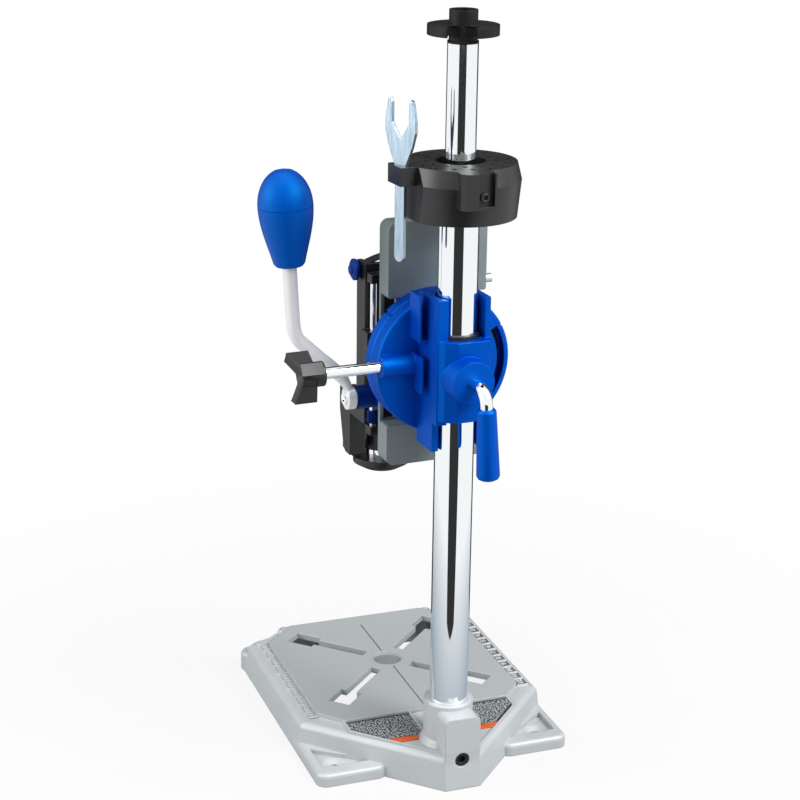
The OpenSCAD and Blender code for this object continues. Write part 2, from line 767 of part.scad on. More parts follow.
module clamp_lever_grip() color(blue) in_head() rotate([0, clamp_lean, 0])
    translate([0, clamp_out, clamp_grip_top - clamp_grip_len]) difference() {
        rotate_extrude() polygon([[0, 0], [grip_low_r - 2.4, 0], [grip_low_r - 0.8, 0.9], [grip_low_r, 2.6],
            [grip_top_r, clamp_grip_len - 1.4], [grip_top_r - 0.9, clamp_grip_len], [0, clamp_grip_len]]);
        translate([0, 0, grip_bore - 0.1]) cylinder(r = clamp_rod_r + 0.02, h = clamp_grip_len);
    }

module tilt_lock_rod() color(chrome) in_head()
    along_x(lock_rod_r, spigot_r + gap, lock_knob_x + lock_hub_len + 6, lock_y, lock_z);

// Three wings round the rod, drawn with one wing pointing down
module lock_star() let (w = [[-60, 7.4], [-36, 7.6], [-13, lock_wing_r], [13, lock_wing_r], [36, 7.6]])
    polygon([for (i = [0:2]) for (p = w) let (a = 120*i + p[0]) p[1]*[cos(a), sin(a)]]);

module tilt_lock_knob() color(black) in_head() translate([lock_knob_x, lock_y, lock_z]) difference() {
    union() {
        along_x(lock_rod_r + 4.2, 0, lock_hub_len + 1);
        translate([lock_hub_len, 0, 0]) rotate([0, 90, 0]) linear_extrude(lock_wing_w) lock_star();
    }
    along_x(lock_rod_r + 0.02, -1, lock_hub_len + 6.1);
    // Hollow end
    translate([lock_hub_len + lock_wing_w + eps, 0, 0]) rotate([0, -90, 0])
        cylinder(r1 = lock_wing_r + 1, r2 = 3, h = lock_hollow);
}

module tilt_disc() color(blue) in_head() difference() {
    union() {
        disc(tilt_front, tilt_back, disc_gap_edge, disc_edge);
        along_y(spigot_r, tilt_front, spigot_back);
    }
    along_y(pivot_r + running, tilt_front - 1, 0);
    along_y(pivot_head_r + gap, tilt_front - 1, tilt_front + pivot_head_t);
    // Recess for the friction ring
    along_y_ring(30, disc_r - 2.8, tilt_back - 1.5, tilt_back + 1);
    // Index notches in the rim and the frame's screw holes
    for (a = [45:90:315]) rotate([0, a, 0]) {
        box([disc_r - 1.6, tilt_front - 1, -0.9], [disc_r + 1, tilt_back + 1, 0.9]);
        along_y(screw_r + running, tilt_front - 1, tilt_front + screw_grip + 0.5, screw_ring, 0);
    }
}

// Ring from one Y to another
module along_y_ring(r0, r1, y0, y1) difference() {
    along_y(r1, y0, y1);
    along_y(r0, y0 - 1, y1 + 1);
}

module friction_ring() color(black) in_head() along_y_ring(30.1, disc_r - 2.9, tilt_back - 1.5, tilt_back);

// One block of the frame, with its own radius at the lower and the upper corners
module frame_block(y0, y1, z0, z1, low, high) upright(y0, y1)
    two_round_rect([-frame_right, z0], [frame_left, z1], low, high);

module holder_frame() color(frame_grey) in_head() difference() {
    union() {
        // Front web with the opening beside the boss
        difference() {
            frame_block(web_front, block_front, -frame_down, frame_up, frame_round, frame_round);
            box([window[0], web_front - 1, lower_block + 1], [window[1], block_front + 1, upper_block - 1]);
        }
        frame_block(block_front - eps, frame_back, upper_block, frame_up, block_round, frame_round);
        frame_block(block_front - eps, frame_back, -frame_down, lower_block, frame_round, block_round);
        along_y(frame_boss_r, web_front, frame_back);
    }
    for (a = [45:90:315]) rotate([0, a, 0]) {
        along_y(screw_r + running, web_front - 1, 0, screw_ring, 0);
        along_y(screw_head_r + 0.1, web_front - 1, web_front + screw_head_t + 0.2, screw_ring, 0);
    }
    for (z = side_screw_z)
        along_x(screw_r + running, -frame_right - 1, -frame_right + side_screw_len + 1, side_screw_y, z);
}

module frame_screws() color(steel) in_head() for (a = [45:90:315]) rotate([0, a, 0]) difference() {
    union() {
        along_y(screw_r, web_front + screw_head_t, tilt_front + screw_grip, screw_ring, 0);
        along_y(screw_head_r, web_front + 0.2, web_front + screw_head_t + 0.2, screw_ring, 0);
    }
    hex_y(1.9, 2*hex_depth, screw_ring, web_front + 0.2 + hex_depth, 0);
}

module rod_lock_screws() color(steel) in_head() for (z = side_screw_z) {
    along_x(screw_r, -frame_right, -frame_right + side_screw_len, side_screw_y, z);
    along_x(side_head_r, -frame_right - side_head_t, -frame_right, side_screw_y, z);
}

module guide_rods() color(chrome) in_head() for (side = [-1, 1])
    translate([side*rod_x, rod_y, plate_low]) cylinder(r = rod_r, h = plate_top + plate_t - plate_low);

module rod_plates() color(black) in_head() for (z = [plate_top, plate_low]) difference() {
    translate([0, 0, z]) linear_extrude(plate_t) difference() {
        union() {
            round_rect([-plate_half, rod_y - rod_r - 1.5], [plate_half, rod_y + rod_r + 2.6], 1.5);
            translate([-plate_neck, rod_y]) square([2*plate_neck, web_front - rod_y]);
        }
        translate([pinion_x - 2.5, rod_y - 20]) square([pinion_w + 6, 20 + rod_r + 5.5]);
    }
    for (side = [-1, 1]) translate([side*rod_x, rod_y, z - 1]) cylinder(r = rod_r + 0.02, h = plate_t + 2);
}

module depth_stop_nut() color(blue) in_head() translate([rod_x, rod_y, stop_z[0]]) difference() {
    union() {
        cylinder(r = stop_r - 0.8, h = stop_z[1] - stop_z[0]);
        for (a = [0:30:330]) rotate(a) translate([stop_r - 0.7, 0, 0.6])
            cylinder(r = 0.66, h = stop_z[1] - stop_z[0] - 1.2);
    }
    translate([0, 0, -1]) cylinder(r = rod_r + running, h = stop_z[1] - stop_z[0] + 2);
}

module pinion_housing() color(dark_blue) in_head() difference() {
    union() {
        along_x(housing_r, housing_x[0], housing_x[1], pinion_y, pinion_z);
        box([housing_x[0], pinion_y, pinion_z - housing_r + 0.8],
            [frame_left - 0.5, web_front, pinion_z + housing_r - 0.8]);
    }
    along_x(shaft_r + running, housing_x[0] - 1, housing_x[1] + 1, pinion_y, pinion_z);
    // Flat where the slide's lug passes
    box([housing_x[0] - 1, pinion_y - housing_r - 1, pinion_z - housing_r - 1],
        [rod_x + lug_half + 0.5, lug_rear + 0.4, pinion_z + housing_r + 1]);
}

// Pinion drawn in the plane that the lever turns in, with a tooth towards the rack
module pinion_shape() {
    circle(pitch_r - tooth_down);
    root = pitch_r - tooth_down - 1;
    tip = pitch_r + tooth_up;
    for (i = [0:pinion_teeth - 1]) rotate(360*i/pinion_teeth)
        polygon([[root, -1.62*tooth_half], [pitch_r, -tooth_half], [tip, -0.42*tooth_half],
            [tip, 0.42*tooth_half], [pitch_r, tooth_half], [root, 1.62*tooth_half]]);
}

module pinion() color(steel) in_head() difference() {
    union() {
        translate([pinion_x, pinion_y, pinion_z]) rotate([0, 90, 0]) rotate(-90)
            linear_extrude(pinion_w) pinion_shape();
        along_x(shaft_r, pinion_x + pinion_w - eps, hub_x[1] - 2.6, pinion_y, pinion_z);
    }
    along_x(lever_screw_r + 0.02, hub_x[1] - 14, hub_x[1], pinion_y, pinion_z);
}

// Tube along a list of points in the lever's plane, as one closed surface
module lever_tube(points, radius, sides = 16) {
    n = len(points);
    dir = [for (i = [0:n - 1]) let (d = points[min(i + 1, n - 1)] - points[max(i - 1, 0)]) d/norm(d)];
    ring = [for (i = [0:n - 1]) for (k = [0:sides - 1]) let (a = 360*k/sides, u = radius(i/(n - 1))*cos(a))
        [points[i][0] + dir[i][1]*u, radius(i/(n - 1))*sin(a), points[i][1] - dir[i][0]*u]];
    sides_faces = [for (i = [0:n - 2]) for (k = [0:sides - 1])
        let (a = i*sides + k, b = i*sides + (k + 1) % sides)
        each [[a, b + sides, b], [a, a + sides, b + sides]]];
    ends = [[for (k = [0:sides - 1]) k], [for (k = [sides - 1:-1:0]) (n - 1)*sides + k]];
    polyhedron(ring, concat(sides_faces, ends));
}

// Smooth curve through the arm's points
function smooth(p, steps) = [for (i = [0:len(p) - 2]) for (s = [0:steps - 1])
    let (t = s/steps, a = p[max(i - 1, 0)], b = p[i], c = p[i + 1], d = p[min(i + 2, len(p) - 1)])
    0.5*(2*b + (c - a)*t + (2*a - 5*b + 4*c - d)*t*t + (3*b - a - 3*c + d)*t*t*t), p[len(p) - 1]];

// Radius of the arm at a share of its length, thin where it leaves the hub
function arm_radius(t) = arm_d/2*min(1, 0.56 + 2.2*t);

module feed_lever() color("#c9cccd") in_head() difference() {
    union() {
        along_x(hub_r, hub_x[0], hub_x[1], pinion_y, pinion_z);
        translate([0, pinion_y, 0]) lever_tube(smooth(arm_points, 3), function (t) arm_radius(t));
    }
    along_x(shaft_r + 0.02, hub_x[0] - 1, hub_x[1] - 2.5, pinion_y, pinion_z);
    along_x(lever_screw_r + 0.1, hub_x[0], hub_x[1] + 1, pinion_y, pinion_z);
    // Clear space over the screw's head
    along_x(lever_head_r + 0.2, hub_x[1], hub_x[1] + 8, pinion_y, pinion_z);
}

module feed_lever_screw() color(chrome) in_head() difference() {
    union() {
        along_x(lever_screw_r, hub_x[1] - 13, hub_x[1], pinion_y, pinion_z);
        along_x(lever_head_r, hub_x[1], hub_x[1] + lever_head_t, pinion_y, pinion_z);
    }
    translate([hub_x[1] + 0.6, pinion_y, pinion_z]) rotate([0, 90, 0]) cylinder(r = 2.1, h = 4, $fn = 6);
}

// Radius of the egg-shaped knob at a share of its length
function knob_profile(t) = knob_d/2*(t < 0.62 ? 0.56 + 0.44*sin(90*pow(t/0.62, 1.15))
    : sqrt(max(0, 1 - pow((t - 0.62)/0.38, 2))));

module feed_lever_knob() color(blue) in_head()
    translate([knob_base[0], pinion_y, knob_base[1]]) rotate([0, knob_lean, 0]) difference() {
        rotate_extrude() polygon(concat([[0, 0], [knob_profile(0) - 1, 0]],
            [for (i = [1:39]) [knob_profile(i/40), knob_len*i/40]], [[0, knob_len]]));
        translate([0, 0, -2]) cylinder(r = arm_d/2 + 0.1, h = 2.5);
        // Parting groove round the widest place
        translate([0, 0, 0.62*knob_len]) rotate_extrude()
            polygon([[knob_d/2 - 0.35, 0], [knob_d/2 + 1, -0.7], [knob_d/2 + 1, 0.7]]);
    }

// Arm beside the tool's nose, on the +X side
module slide_arm() {
    box([slide_half - slide_wall, arm_front, arm_link], [slide_half, slide_back - 1.5, arm_top]);
    translate([arm_in, 0, 0]) rotate([90, 0, 90]) linear_extrude(slide_half - arm_in)
        polygon([[arm_front, arm_top], [arm_front, arm_low + 29], [arm_front + 6, arm_low + 6],
            [arm_front + 8.4, arm_low + 1.4], [arm_front + 11, arm_low], [arm_back, arm_low],
            [arm_back, arm_top]]);
    // Gusset down to the nose seat
    upright(tool_y - 6, tool_y + 2) polygon([[seat_r - 3, -seat_down - 1], [seat_r, -seat_down - 1],
        [slide_half - 2, arm_low + eps], [slide_half - 2, arm_low + 4], [arm_in + eps, arm_low + 4],
        [arm_in + eps, -seat_down + 1], [seat_r - 3, -seat_down + eps]]);
}

module tool_slide() color(black) in_head() difference() {
    union() {
        box([-slide_half, slide_back - slide_t, slide_low], [slide_half, slide_back, slide_up]);
        for (side = [0, 1]) mirror([side, 0, 0]) {
            box([slide_half - slide_wall, slide_wall_front, slide_low], [slide_half, slide_back, slide_up]);
            slide_arm();
            box([rod_x - lug_half, slide_back - 1, lug_z[0]],
                [rod_x + lug_half, lug_rear, lug_z[1]]);
        }
        // Nose seat between the two arms
        translate([0, tool_y, -seat_down - seat_t]) rotate_extrude()
            polygon([[0, -seat_dome], [seat_r - 6.5, -seat_dome], [seat_r, 0], [seat_r, seat_t],
                [0, seat_t]]);
    }
    translate([0, tool_y, -seat_down - seat_t - seat_dome - 1])
        cylinder(r = nose_r, h = seat_t + seat_dome + 2);
    for (side = [-1, 1]) translate([side*rod_x, rod_y, lug_z[0] - 1])
        cylinder(r = rod_r + running, h = lug_z[1] - lug_z[0] + 2);
    along_x(thumb_r + running, slide_half - slide_wall - 1, slide_half + 1, thumb_y, thumb_z);
}

// Rack drawn as a bar with trapezoid teeth towards the pinion
module feed_rack() color(steel) in_head() difference() {
    box([pinion_x, slide_back, rack_z[0]], [pinion_x + pinion_w, rack_y + tooth_up, rack_z[1]]);
    first = ceil((rack_z[0] - 3 - pinion_z)/tooth_pitch);
    last = floor((rack_z[1] + 3 - pinion_z)/tooth_pitch);
    for (i = [first:last]) translate([pinion_x - 1, 0, pinion_z + i*tooth_pitch])
        rotate([90, 0, 90]) linear_extrude(pinion_w + 2)
            polygon([[rack_y - tooth_down, -0.75*tooth_half], [rack_y - tooth_down, 0.75*tooth_half],
                [rack_y + tooth_up + 1, 2.05*tooth_half], [rack_y + tooth_up + 1, -2.05*tooth_half]]);
}

module tool_strap() color(black) in_head() {
    half = slide_half - slide_wall;
    r = (half*half + strap_rise*strap_rise)/(2*strap_rise);
    translate([0, 0, slide_up + strap_rise - r]) intersection() {
        along_y_ring(r - strap_t, r, slide_back - slide_t - strap_w, slide_back - slide_t);
        box([-half, slide_back - slide_t - strap_w - 1, r - strap_rise - 3], [half, 0, r + 1]);
    }
}

module strap_thumbscrew() color(blue) in_head() {
    along_x(thumb_r, slide_half - slide_wall - 6, slide_half + gap + 1, thumb_y, thumb_z);
    translate([slide_half + gap, thumb_y, thumb_z]) rotate([0, 90, 0]) rotate_extrude()
        polygon([[0, 0], [3.6, 0], [3.6, 1.2], [thumb_wheel_r - 0.8, 1.2], [thumb_wheel_r, 2],
            [thumb_wheel_r, 3.6], [thumb_wheel_r - 1.6, 4.6], [3.4, 5.4], [3, 6.2], [0, 6.2]]);
}

module nose_nut() color(chrome) in_head() translate([0, tool_y, -seat_down]) difference() {
    cylinder(r = nut_r, h = nut_h);
    translate([0, 0, -1]) cylinder(r = nose_r + 0.5, h = nut_h + 2);
    for (a = [0:45:315]) rotate(a) box([nut_r - 1.4, -1.1, -1], [nut_r + 1, 1.1, nut_h + 1]);
}

module nose_sleeve() color(black) in_head() translate([0, tool_y, -seat_down + nut_h]) difference() {
    cylinder(r = nut_r + 0.5, h = sleeve_h);
    translate([0, 0, -1]) cylinder(r = nose_r + 0.5, h = sleeve_h + 2);
}

base();
panel_inlays();
panel_stripes();
socket_set_screw();
lower_column();
column_bush();
accessory_ring();
ring_clamp_screw();
upper_column();
top_hanger();
wrench();
column_liner();
carriage();
clamp_pad();
tilt_lock_nut();
pivot_bolt();
clamp_lever_rod();
clamp_lever_grip();
tilt_lock_rod();
tilt_lock_knob();
tilt_disc();
friction_ring();
holder_frame();
frame_screws();
rod_lock_screws();
guide_rods();
rod_plates();
depth_stop_nut();
pinion_housing();
pinion();
feed_lever();
feed_lever_screw();
feed_lever_knob();
tool_slide();
feed_rack();
tool_strap();
strap_thumbscrew();
nose_nut();
nose_sleeve();
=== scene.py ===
"""Dresses the drill stand: finishes for its solids, ruler marks on its table, and a studio."""

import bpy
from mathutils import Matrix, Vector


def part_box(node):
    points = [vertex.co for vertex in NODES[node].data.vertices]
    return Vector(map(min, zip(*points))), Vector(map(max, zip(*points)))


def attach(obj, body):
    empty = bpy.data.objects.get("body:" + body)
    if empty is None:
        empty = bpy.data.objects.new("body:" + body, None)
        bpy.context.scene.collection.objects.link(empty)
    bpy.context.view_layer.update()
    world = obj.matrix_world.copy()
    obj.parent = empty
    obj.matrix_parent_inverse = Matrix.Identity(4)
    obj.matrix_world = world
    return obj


bl_info = {
    "name": "Drill stand dresser",
    "version": (1, 0, 0),
    "blender": (4, 5, 0),
    "location": "View3D > Sidebar > Drill Stand",
    "description": "Finishes and small details for a rotary tool drill stand",
    "category": "Object",
}

import math
from collections import namedtuple

import bpy
import numpy as np
from mathutils import Matrix, Vector

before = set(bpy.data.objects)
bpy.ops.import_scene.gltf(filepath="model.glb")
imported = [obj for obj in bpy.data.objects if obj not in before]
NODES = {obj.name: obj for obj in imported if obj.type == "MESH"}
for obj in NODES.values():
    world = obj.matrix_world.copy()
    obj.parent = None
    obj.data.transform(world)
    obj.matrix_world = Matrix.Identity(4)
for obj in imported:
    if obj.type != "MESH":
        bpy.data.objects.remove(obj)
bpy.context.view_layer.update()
MM = 0.001
CM = 10 * MM
INCH = 25.4 * MM

# Heights and places that the details follow, from the solids
PANEL_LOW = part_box("panel_inlays")[0]
COLUMN_LOW, COLUMN_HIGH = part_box("lower_column")
COLUMN_AXIS = (COLUMN_LOW + COLUMN_HIGH) / 2
INLAY_LIFT = 0.4 * MM
TABLE_RISE = 3 * MM
LEDGE_Z = PANEL_LOW.z - INLAY_LIFT
TABLE_Z = LEDGE_Z + TABLE_RISE
RECESS_Z = TABLE_Z - 2 * MM
GROOVE_Z = TABLE_Z - 0.6 * MM

# How far a point may be from a level face, or from an edge, and still count as on it
LEVEL_SLACK = 0.05 * MM
EDGE_SLACK = 0.1 * MM


def node_points(name):
    """All corner points of a CAD node as one array."""
    mesh = NODES[name].data
    points = np.empty(3 * len(mesh.vertices), dtype=np.float32)
    mesh.vertices.foreach_get("co", points)
    return points.reshape(-1, 3)


def table_half_width():
    """Half the width of the raised table: the widest point at its own height."""
    points = node_points("base")
    at_top = np.abs(points[:, 2] - TABLE_Z) < LEVEL_SLACK
    return float(np.abs(points[at_top, 0]).max())


def panel_diagonal():
    """Outward direction and distance of the inlays' rear diagonal, from its two ends on the +X side."""
    points = np.abs(node_points("panel_inlays"))
    outer = points[points[:, 0] > points[:, 0].max() - EDGE_SLACK]
    rear = points[points[:, 1] > points[:, 1].max() - EDGE_SLACK]
    first = outer[np.argmax(outer[:, 1])]
    last = rear[np.argmax(rear[:, 0])]
    along = (last - first)[:2]
    out = np.array([along[1], -along[0]]) / np.linalg.norm(along)
    return out, float(out @ first[:2])


TABLE_HALF = table_half_width()


def linear(code, alpha=1.0):
    """A hex sRGB colour as linear values, by the sRGB curve."""
    parts = np.array([int(code[i:i + 2], 16) for i in (1, 3, 5)]) / 255
    values = np.where(parts <= 0.04045, parts / 12.92, ((parts + 0.055) / 1.055) ** 2.4)
    return (*values.tolist(), alpha)


WHITE = linear("#ffffff")
BLACK = linear("#000000")


def add(tree, kind, settings=None, inputs=None):
    """Adds one node: settings are its properties, inputs are values or sockets to link."""
    node = tree.nodes.new("ShaderNode" + kind)
    for name, value in (settings or {}).items():
        setattr(node, name, value)
    for name, value in (inputs or {}).items():
        if isinstance(value, bpy.types.NodeSocket):
            tree.links.new(value, node.inputs[name])
        else:
            node.inputs[name].default_value = value
    return node


def blank(name, values):
    """A new material with values on its shader's own sockets, its tree and that shader."""
    material = bpy.data.materials.new(name)
    material.use_nodes = True
    shader = material.node_tree.nodes["Principled BSDF"]
    for socket, value in values.items():
        shader.inputs[socket].default_value = value
    return material, material.node_tree, shader


def wire(tree, shader, sockets):
    """Links outputs to the shader's sockets by name."""
    for name, output in sockets.items():
        tree.links.new(output, shader.inputs[name])


def stops(ramp, places):
    """Sets a colour ramp's places and colours."""
    elements = ramp.color_ramp.elements
    while len(elements) < len(places):
        elements.new(0.5)
    for element, (place, code) in zip(elements, places):
        element.position = place
        element.color = linear(code)


def per_mm(size):
    """Texture scale at which one cell of a pattern is that many millimetres."""
    return 1 / (size * MM)


def skin(tree, shader, colour, rough, height, strength, depth, edge):
    """Wires a finish: colour, roughness, and a bump over rounded edges, both sizes in millimetres."""
    soft = add(tree, "Bevel", {"samples": 8}, {"Radius": edge * MM})
    bump = add(tree, "Bump", None, {"Strength": strength, "Distance": depth * MM, "Height": height,
                                    "Normal": soft.outputs["Normal"]})
    wire(tree, shader, {"Base Color": colour, "Roughness": rough, "Normal": bump.outputs["Normal"]})


# A level face of another tone, some real and some painted shade: its height, the middle and half of the x
# and y it covers, two colours
Zone = namedtuple("Zone", "height x x_half y y_half dark pale")


def painted_casting(name, low, high, roughness, zones=(), edge=1.1):
    """Silver paint on a die casting.

    Fine flakes and a soft orange peel give a satin skin. The zones have faint lines across them, as a
    ground face does; the zones in the recess, the grooves and the ruler strips are painted shade.
    """
    material, tree, shader = blank(name, {"Metallic": 0.15, "IOR": 1.5})
    place = add(tree, "TexCoord").outputs["Object"]
    flakes = add(tree, "TexVoronoi", None, {"Vector": place, "Scale": per_mm(0.7)})
    cloud = add(tree, "TexNoise", None, {"Vector": place, "Scale": per_mm(45), "Detail": 3.0})
    both = add(tree, "Math", {"operation": "MULTIPLY_ADD"},
               {0: flakes.outputs["Color"], 1: 0.35, 2: cloud.outputs["Fac"]})
    paint = add(tree, "ValToRGB", None, {"Fac": both.outputs[0]})
    stops(paint, ((0.35, low), (0.95, high)))
    colour = paint.outputs["Color"]
    stretch = add(tree, "Mapping", None, {"Vector": place, "Scale": (0.015, 1, 1)})
    lines = add(tree, "TexNoise", None,
                {"Vector": stretch.outputs["Vector"], "Scale": per_mm(0.9), "Detail": 4.0})
    parts = add(tree, "SeparateXYZ", None, {"Vector": place})
    for zone in zones:
        tone = add(tree, "ValToRGB", None, {"Fac": lines.outputs["Fac"]})
        stops(tone, ((0.3, zone.dark), (0.75, zone.pale)))
        here = None
        for axis, middle, half in (("Z", zone.height, LEVEL_SLACK), ("X", zone.x, zone.x_half),
                                   ("Y", zone.y, zone.y_half)):
            inside = add(tree, "Math", {"operation": "COMPARE"},
                         {0: parts.outputs[axis], 1: middle, 2: half}).outputs[0]
            here = inside if here is None else add(tree, "Math", {"operation": "MULTIPLY"},
                                                   {0: here, 1: inside}).outputs[0]
        colour = add(tree, "Mix", {"data_type": "RGBA"},
                     {"Factor": here, 6: colour, 7: tone.outputs["Color"]}).outputs[2]
    rough = add(tree, "MapRange", None, {"Value": flakes.outputs["Distance"],
                                         "To Min": roughness - 0.06, "To Max": roughness + 0.06})
    peel = add(tree, "TexNoise", None, {"Vector": place, "Scale": per_mm(1.4), "Detail": 2.0})
    skin(tree, shader, colour, rough.outputs["Result"], peel.outputs["Fac"], 0.12, 0.05, edge)
    return material


def moulded(name, colour, worn, roughness, grain, depth, edge=0.8, gloss=0.5, tint="#ffffff", ior=1.5,
            metallic=0.0):
    """Moulded plastic: a fine spark-eroded grain, cloudy gloss and rubbed patches of a second tone."""
    material, tree, shader = blank(name, {"Specular IOR Level": gloss, "Specular Tint": linear(tint),
                                          "IOR": ior, "Metallic": metallic})
    place = add(tree, "TexCoord").outputs["Object"]
    cloud = add(tree, "TexNoise", None, {"Vector": place, "Scale": per_mm(22), "Detail": 4.0})
    tone = add(tree, "ValToRGB", None, {"Fac": cloud.outputs["Fac"]})
    stops(tone, ((0.38, colour), (0.85, worn)))
    rough = add(tree, "MapRange", None, {"Value": cloud.outputs["Fac"], "From Min": 0.3, "From Max": 0.7,
                                         "To Min": roughness - 0.05, "To Max": roughness + 0.07})
    spark = add(tree, "TexNoise", None, {"Vector": place, "Scale": per_mm(grain), "Detail": 3.0})
    skin(tree, shader, tone.outputs["Color"], rough.outputs["Result"], spark.outputs["Fac"],
         0.3, depth, edge)
    return material


def polished_chrome(name):
    """Chrome-plated steel: a cool mirror with the faintest polishing haze along the tube."""
    material, tree, shader = blank(name, {"Base Color": linear("#f3f6f8"), "Metallic": 1.0})
    place = add(tree, "TexCoord").outputs["Object"]
    stretch = add(tree, "Mapping", None, {"Vector": place, "Scale": (1, 1, 0.02)})
    haze = add(tree, "TexNoise", None,
               {"Vector": stretch.outputs["Vector"], "Scale": per_mm(1.5), "Detail": 3.0})
    rough = add(tree, "MapRange", None, {"Value": haze.outputs["Fac"], "To Min": 0.03, "To Max": 0.05})
    wire(tree, shader, {"Roughness": rough.outputs["Result"]})
    return material


def ground_steel(name, dark, pale, roughness, along):
    """Ground steel: fine lines one way, which spread the highlight across them."""
    material, tree, shader = blank(name, {"Metallic": 1.0})
    place = add(tree, "TexCoord").outputs["Object"]
    stretch = add(tree, "Mapping", None, {"Vector": place, "Scale": along})
    lines = add(tree, "TexNoise", None,
                {"Vector": stretch.outputs["Vector"], "Scale": per_mm(0.5), "Detail": 4.0})
    tint = add(tree, "ValToRGB", None, {"Fac": lines.outputs["Fac"]})
    stops(tint, ((0.2, dark), (0.8, pale)))
    rough = add(tree, "MapRange", None, {"Value": lines.outputs["Fac"],
                                         "To Min": roughness - 0.08, "To Max": roughness + 0.1})
    skin(tree, shader, tint.outputs["Color"], rough.outputs["Result"], lines.outputs["Fac"],
         0.08, 0.02, 0.4)
    return material


def speckled_film(name, margin):
    """Printed film on the panels: close rows of pale dots on near-black, inside a dark margin, partly
    painted shadow.

    The dots are drawn 1.7 mm apart, coarser than print, so that they show.
    """
    material, tree, shader = blank(name, {"Roughness": 0.5})
    place = add(tree, "TexCoord").outputs["Object"]
    cells = add(tree, "TexVoronoi", {"voronoi_dimensions": "2D"},
                {"Vector": place, "Scale": per_mm(1.7), "Randomness": 0.6})
    speck = add(tree, "ValToRGB", None, {"Fac": cells.outputs["Distance"]})
    stops(speck, ((0.3, "#b4bbbe"), (0.42, "#1d2123")))
    out, reach = panel_diagonal()
    folded = add(tree, "VectorMath", {"operation": "ABSOLUTE"}, {0: place})
    across = add(tree, "VectorMath", {"operation": "DOT_PRODUCT"},
                 {0: folded.outputs[0], 1: (*out.tolist(), 0)})
    rear = add(tree, "Math", {"operation": "GREATER_THAN"},
               {0: across.outputs["Value"], 1: reach - margin})
    depth = add(tree, "SeparateXYZ", None, {"Vector": place}).outputs["Y"]
    # Along the front edge the dark margin is partly print and partly painted shadow of the table's step
    front = add(tree, "Math", {"operation": "LESS_THAN"}, {0: depth, 1: PANEL_LOW.y + margin})
    rim = add(tree, "Math", {"operation": "MAXIMUM"}, {0: rear.outputs[0], 1: front.outputs[0]})
    film = add(tree, "Mix", {"data_type": "RGBA"},
               {"Factor": rim.outputs[0], 6: speck.outputs["Color"], 7: linear("#0d0e0f")})
    wire(tree, shader, {"Base Color": film.outputs[2]})
    return material


class StandColours(bpy.types.PropertyGroup):
    """Colours of the stand's finishes, as hex sRGB codes."""

    paint: bpy.props.StringProperty(
        name="Paint", description="Table's silver paint", default="#c2c6c8")
    ground: bpy.props.StringProperty(
        name="Ground top", description="Ground top of the table", default="#abb0b1")
    blue: bpy.props.StringProperty(
        name="Blue", description="Moulded blue of the head", default="#002ca0")
    knob: bpy.props.StringProperty(
        name="Knob", description="Softer blue of the lever's knob", default="#00369a")
    black: bpy.props.StringProperty(
        name="Black", description="Moulded black parts", default="#17181a")
    grey: bpy.props.StringProperty(
        name="Grey", description="Moulded grey frame", default="#737f81")


class RulerSizes(bpy.types.PropertyGroup):
    """Sizes of the raised ruler marks on the table's ledges."""

    rise: bpy.props.FloatProperty(
        name="Rise", description="Height of the marks", default=0.8 * MM, unit="LENGTH")
    width: bpy.props.FloatProperty(
        name="Width", description="Width of an inch mark", default=1.1 * MM, unit="LENGTH")
    # Both strips are painted shade: darker paint where the raised marks shade the ledge
    strip: bpy.props.FloatProperty(
        name="Strip", description="Width of the dark strip under the centimetre marks",
        default=9 * MM, unit="LENGTH")
    inch_strip: bpy.props.FloatProperty(
        name="Inch strip", description="Width of the darker strip under the inch marks",
        default=6 * MM, unit="LENGTH")
    front: bpy.props.FloatProperty(
        name="Front", description="Where the rulers start", default=-56 * MM, unit="LENGTH")
    back: bpy.props.FloatProperty(
        name="Back", description="Where the rulers end", default=66 * MM, unit="LENGTH")


class StudioSettings(bpy.types.PropertyGroup):
    """Camera and light."""

    azimuth: bpy.props.FloatProperty(
        name="Azimuth", description="Camera's direction round the stand, in degrees", default=159.874)
    elevation: bpy.props.FloatProperty(
        name="Elevation", description="Camera's height angle, in degrees", default=18.498)
    roll: bpy.props.FloatProperty(
        name="Roll", description="Camera's roll, in degrees", default=0.754)
    lens: bpy.props.FloatProperty(
        name="Lens", description="Focal length in millimetres", default=87.42)
    place: bpy.props.FloatVectorProperty(
        name="Place", description="Camera's place", default=(0.43355, 1.20267, 0.65129), unit="LENGTH")
    ambient: bpy.props.FloatProperty(
        name="Ambient", description="Light from all round", default=0.19)


def dress(material, *names):
    """Gives CAD nodes their finish."""
    for name in names:
        slots = NODES[name].data.materials
        slots.clear()
        slots.append(material)


def mesh_object(name, points, faces, material, body):
    """A new piece from whole arrays of points and faces, riding on a body."""
    mesh = bpy.data.meshes.new(name)
    mesh.from_pydata(points.tolist(), [], faces.tolist())
    mesh.update()
    mesh.materials.append(material)
    piece = bpy.data.objects.new(name, mesh)
    bpy.context.scene.collection.objects.link(piece)
    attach(piece, body)
    return piece


def bars(centres, sizes, taper=0.2):
    """Many raised bars: a unit box's corners times each size, put at each centre, drawn in at the top."""
    ends = [-0.5, 0.5]
    corners = np.stack(np.meshgrid(ends, ends, ends, indexing="ij"), -1).reshape(-1, 3)
    corners[:, 1] *= np.where(corners[:, 2] > 0, 1 - taper, 1)
    points = (centres[:, None] + corners[None] * sizes[:, None]).reshape(-1, 3)
    sides = np.array([[0, 1, 3, 2], [4, 6, 7, 5], [0, 4, 5, 1], [2, 3, 7, 6], [0, 2, 6, 4], [1, 5, 7, 3]])
    starts = len(corners) * np.arange(len(centres))
    faces = (sides[None] + starts[:, None, None]).reshape(-1, 4)
    return points, faces


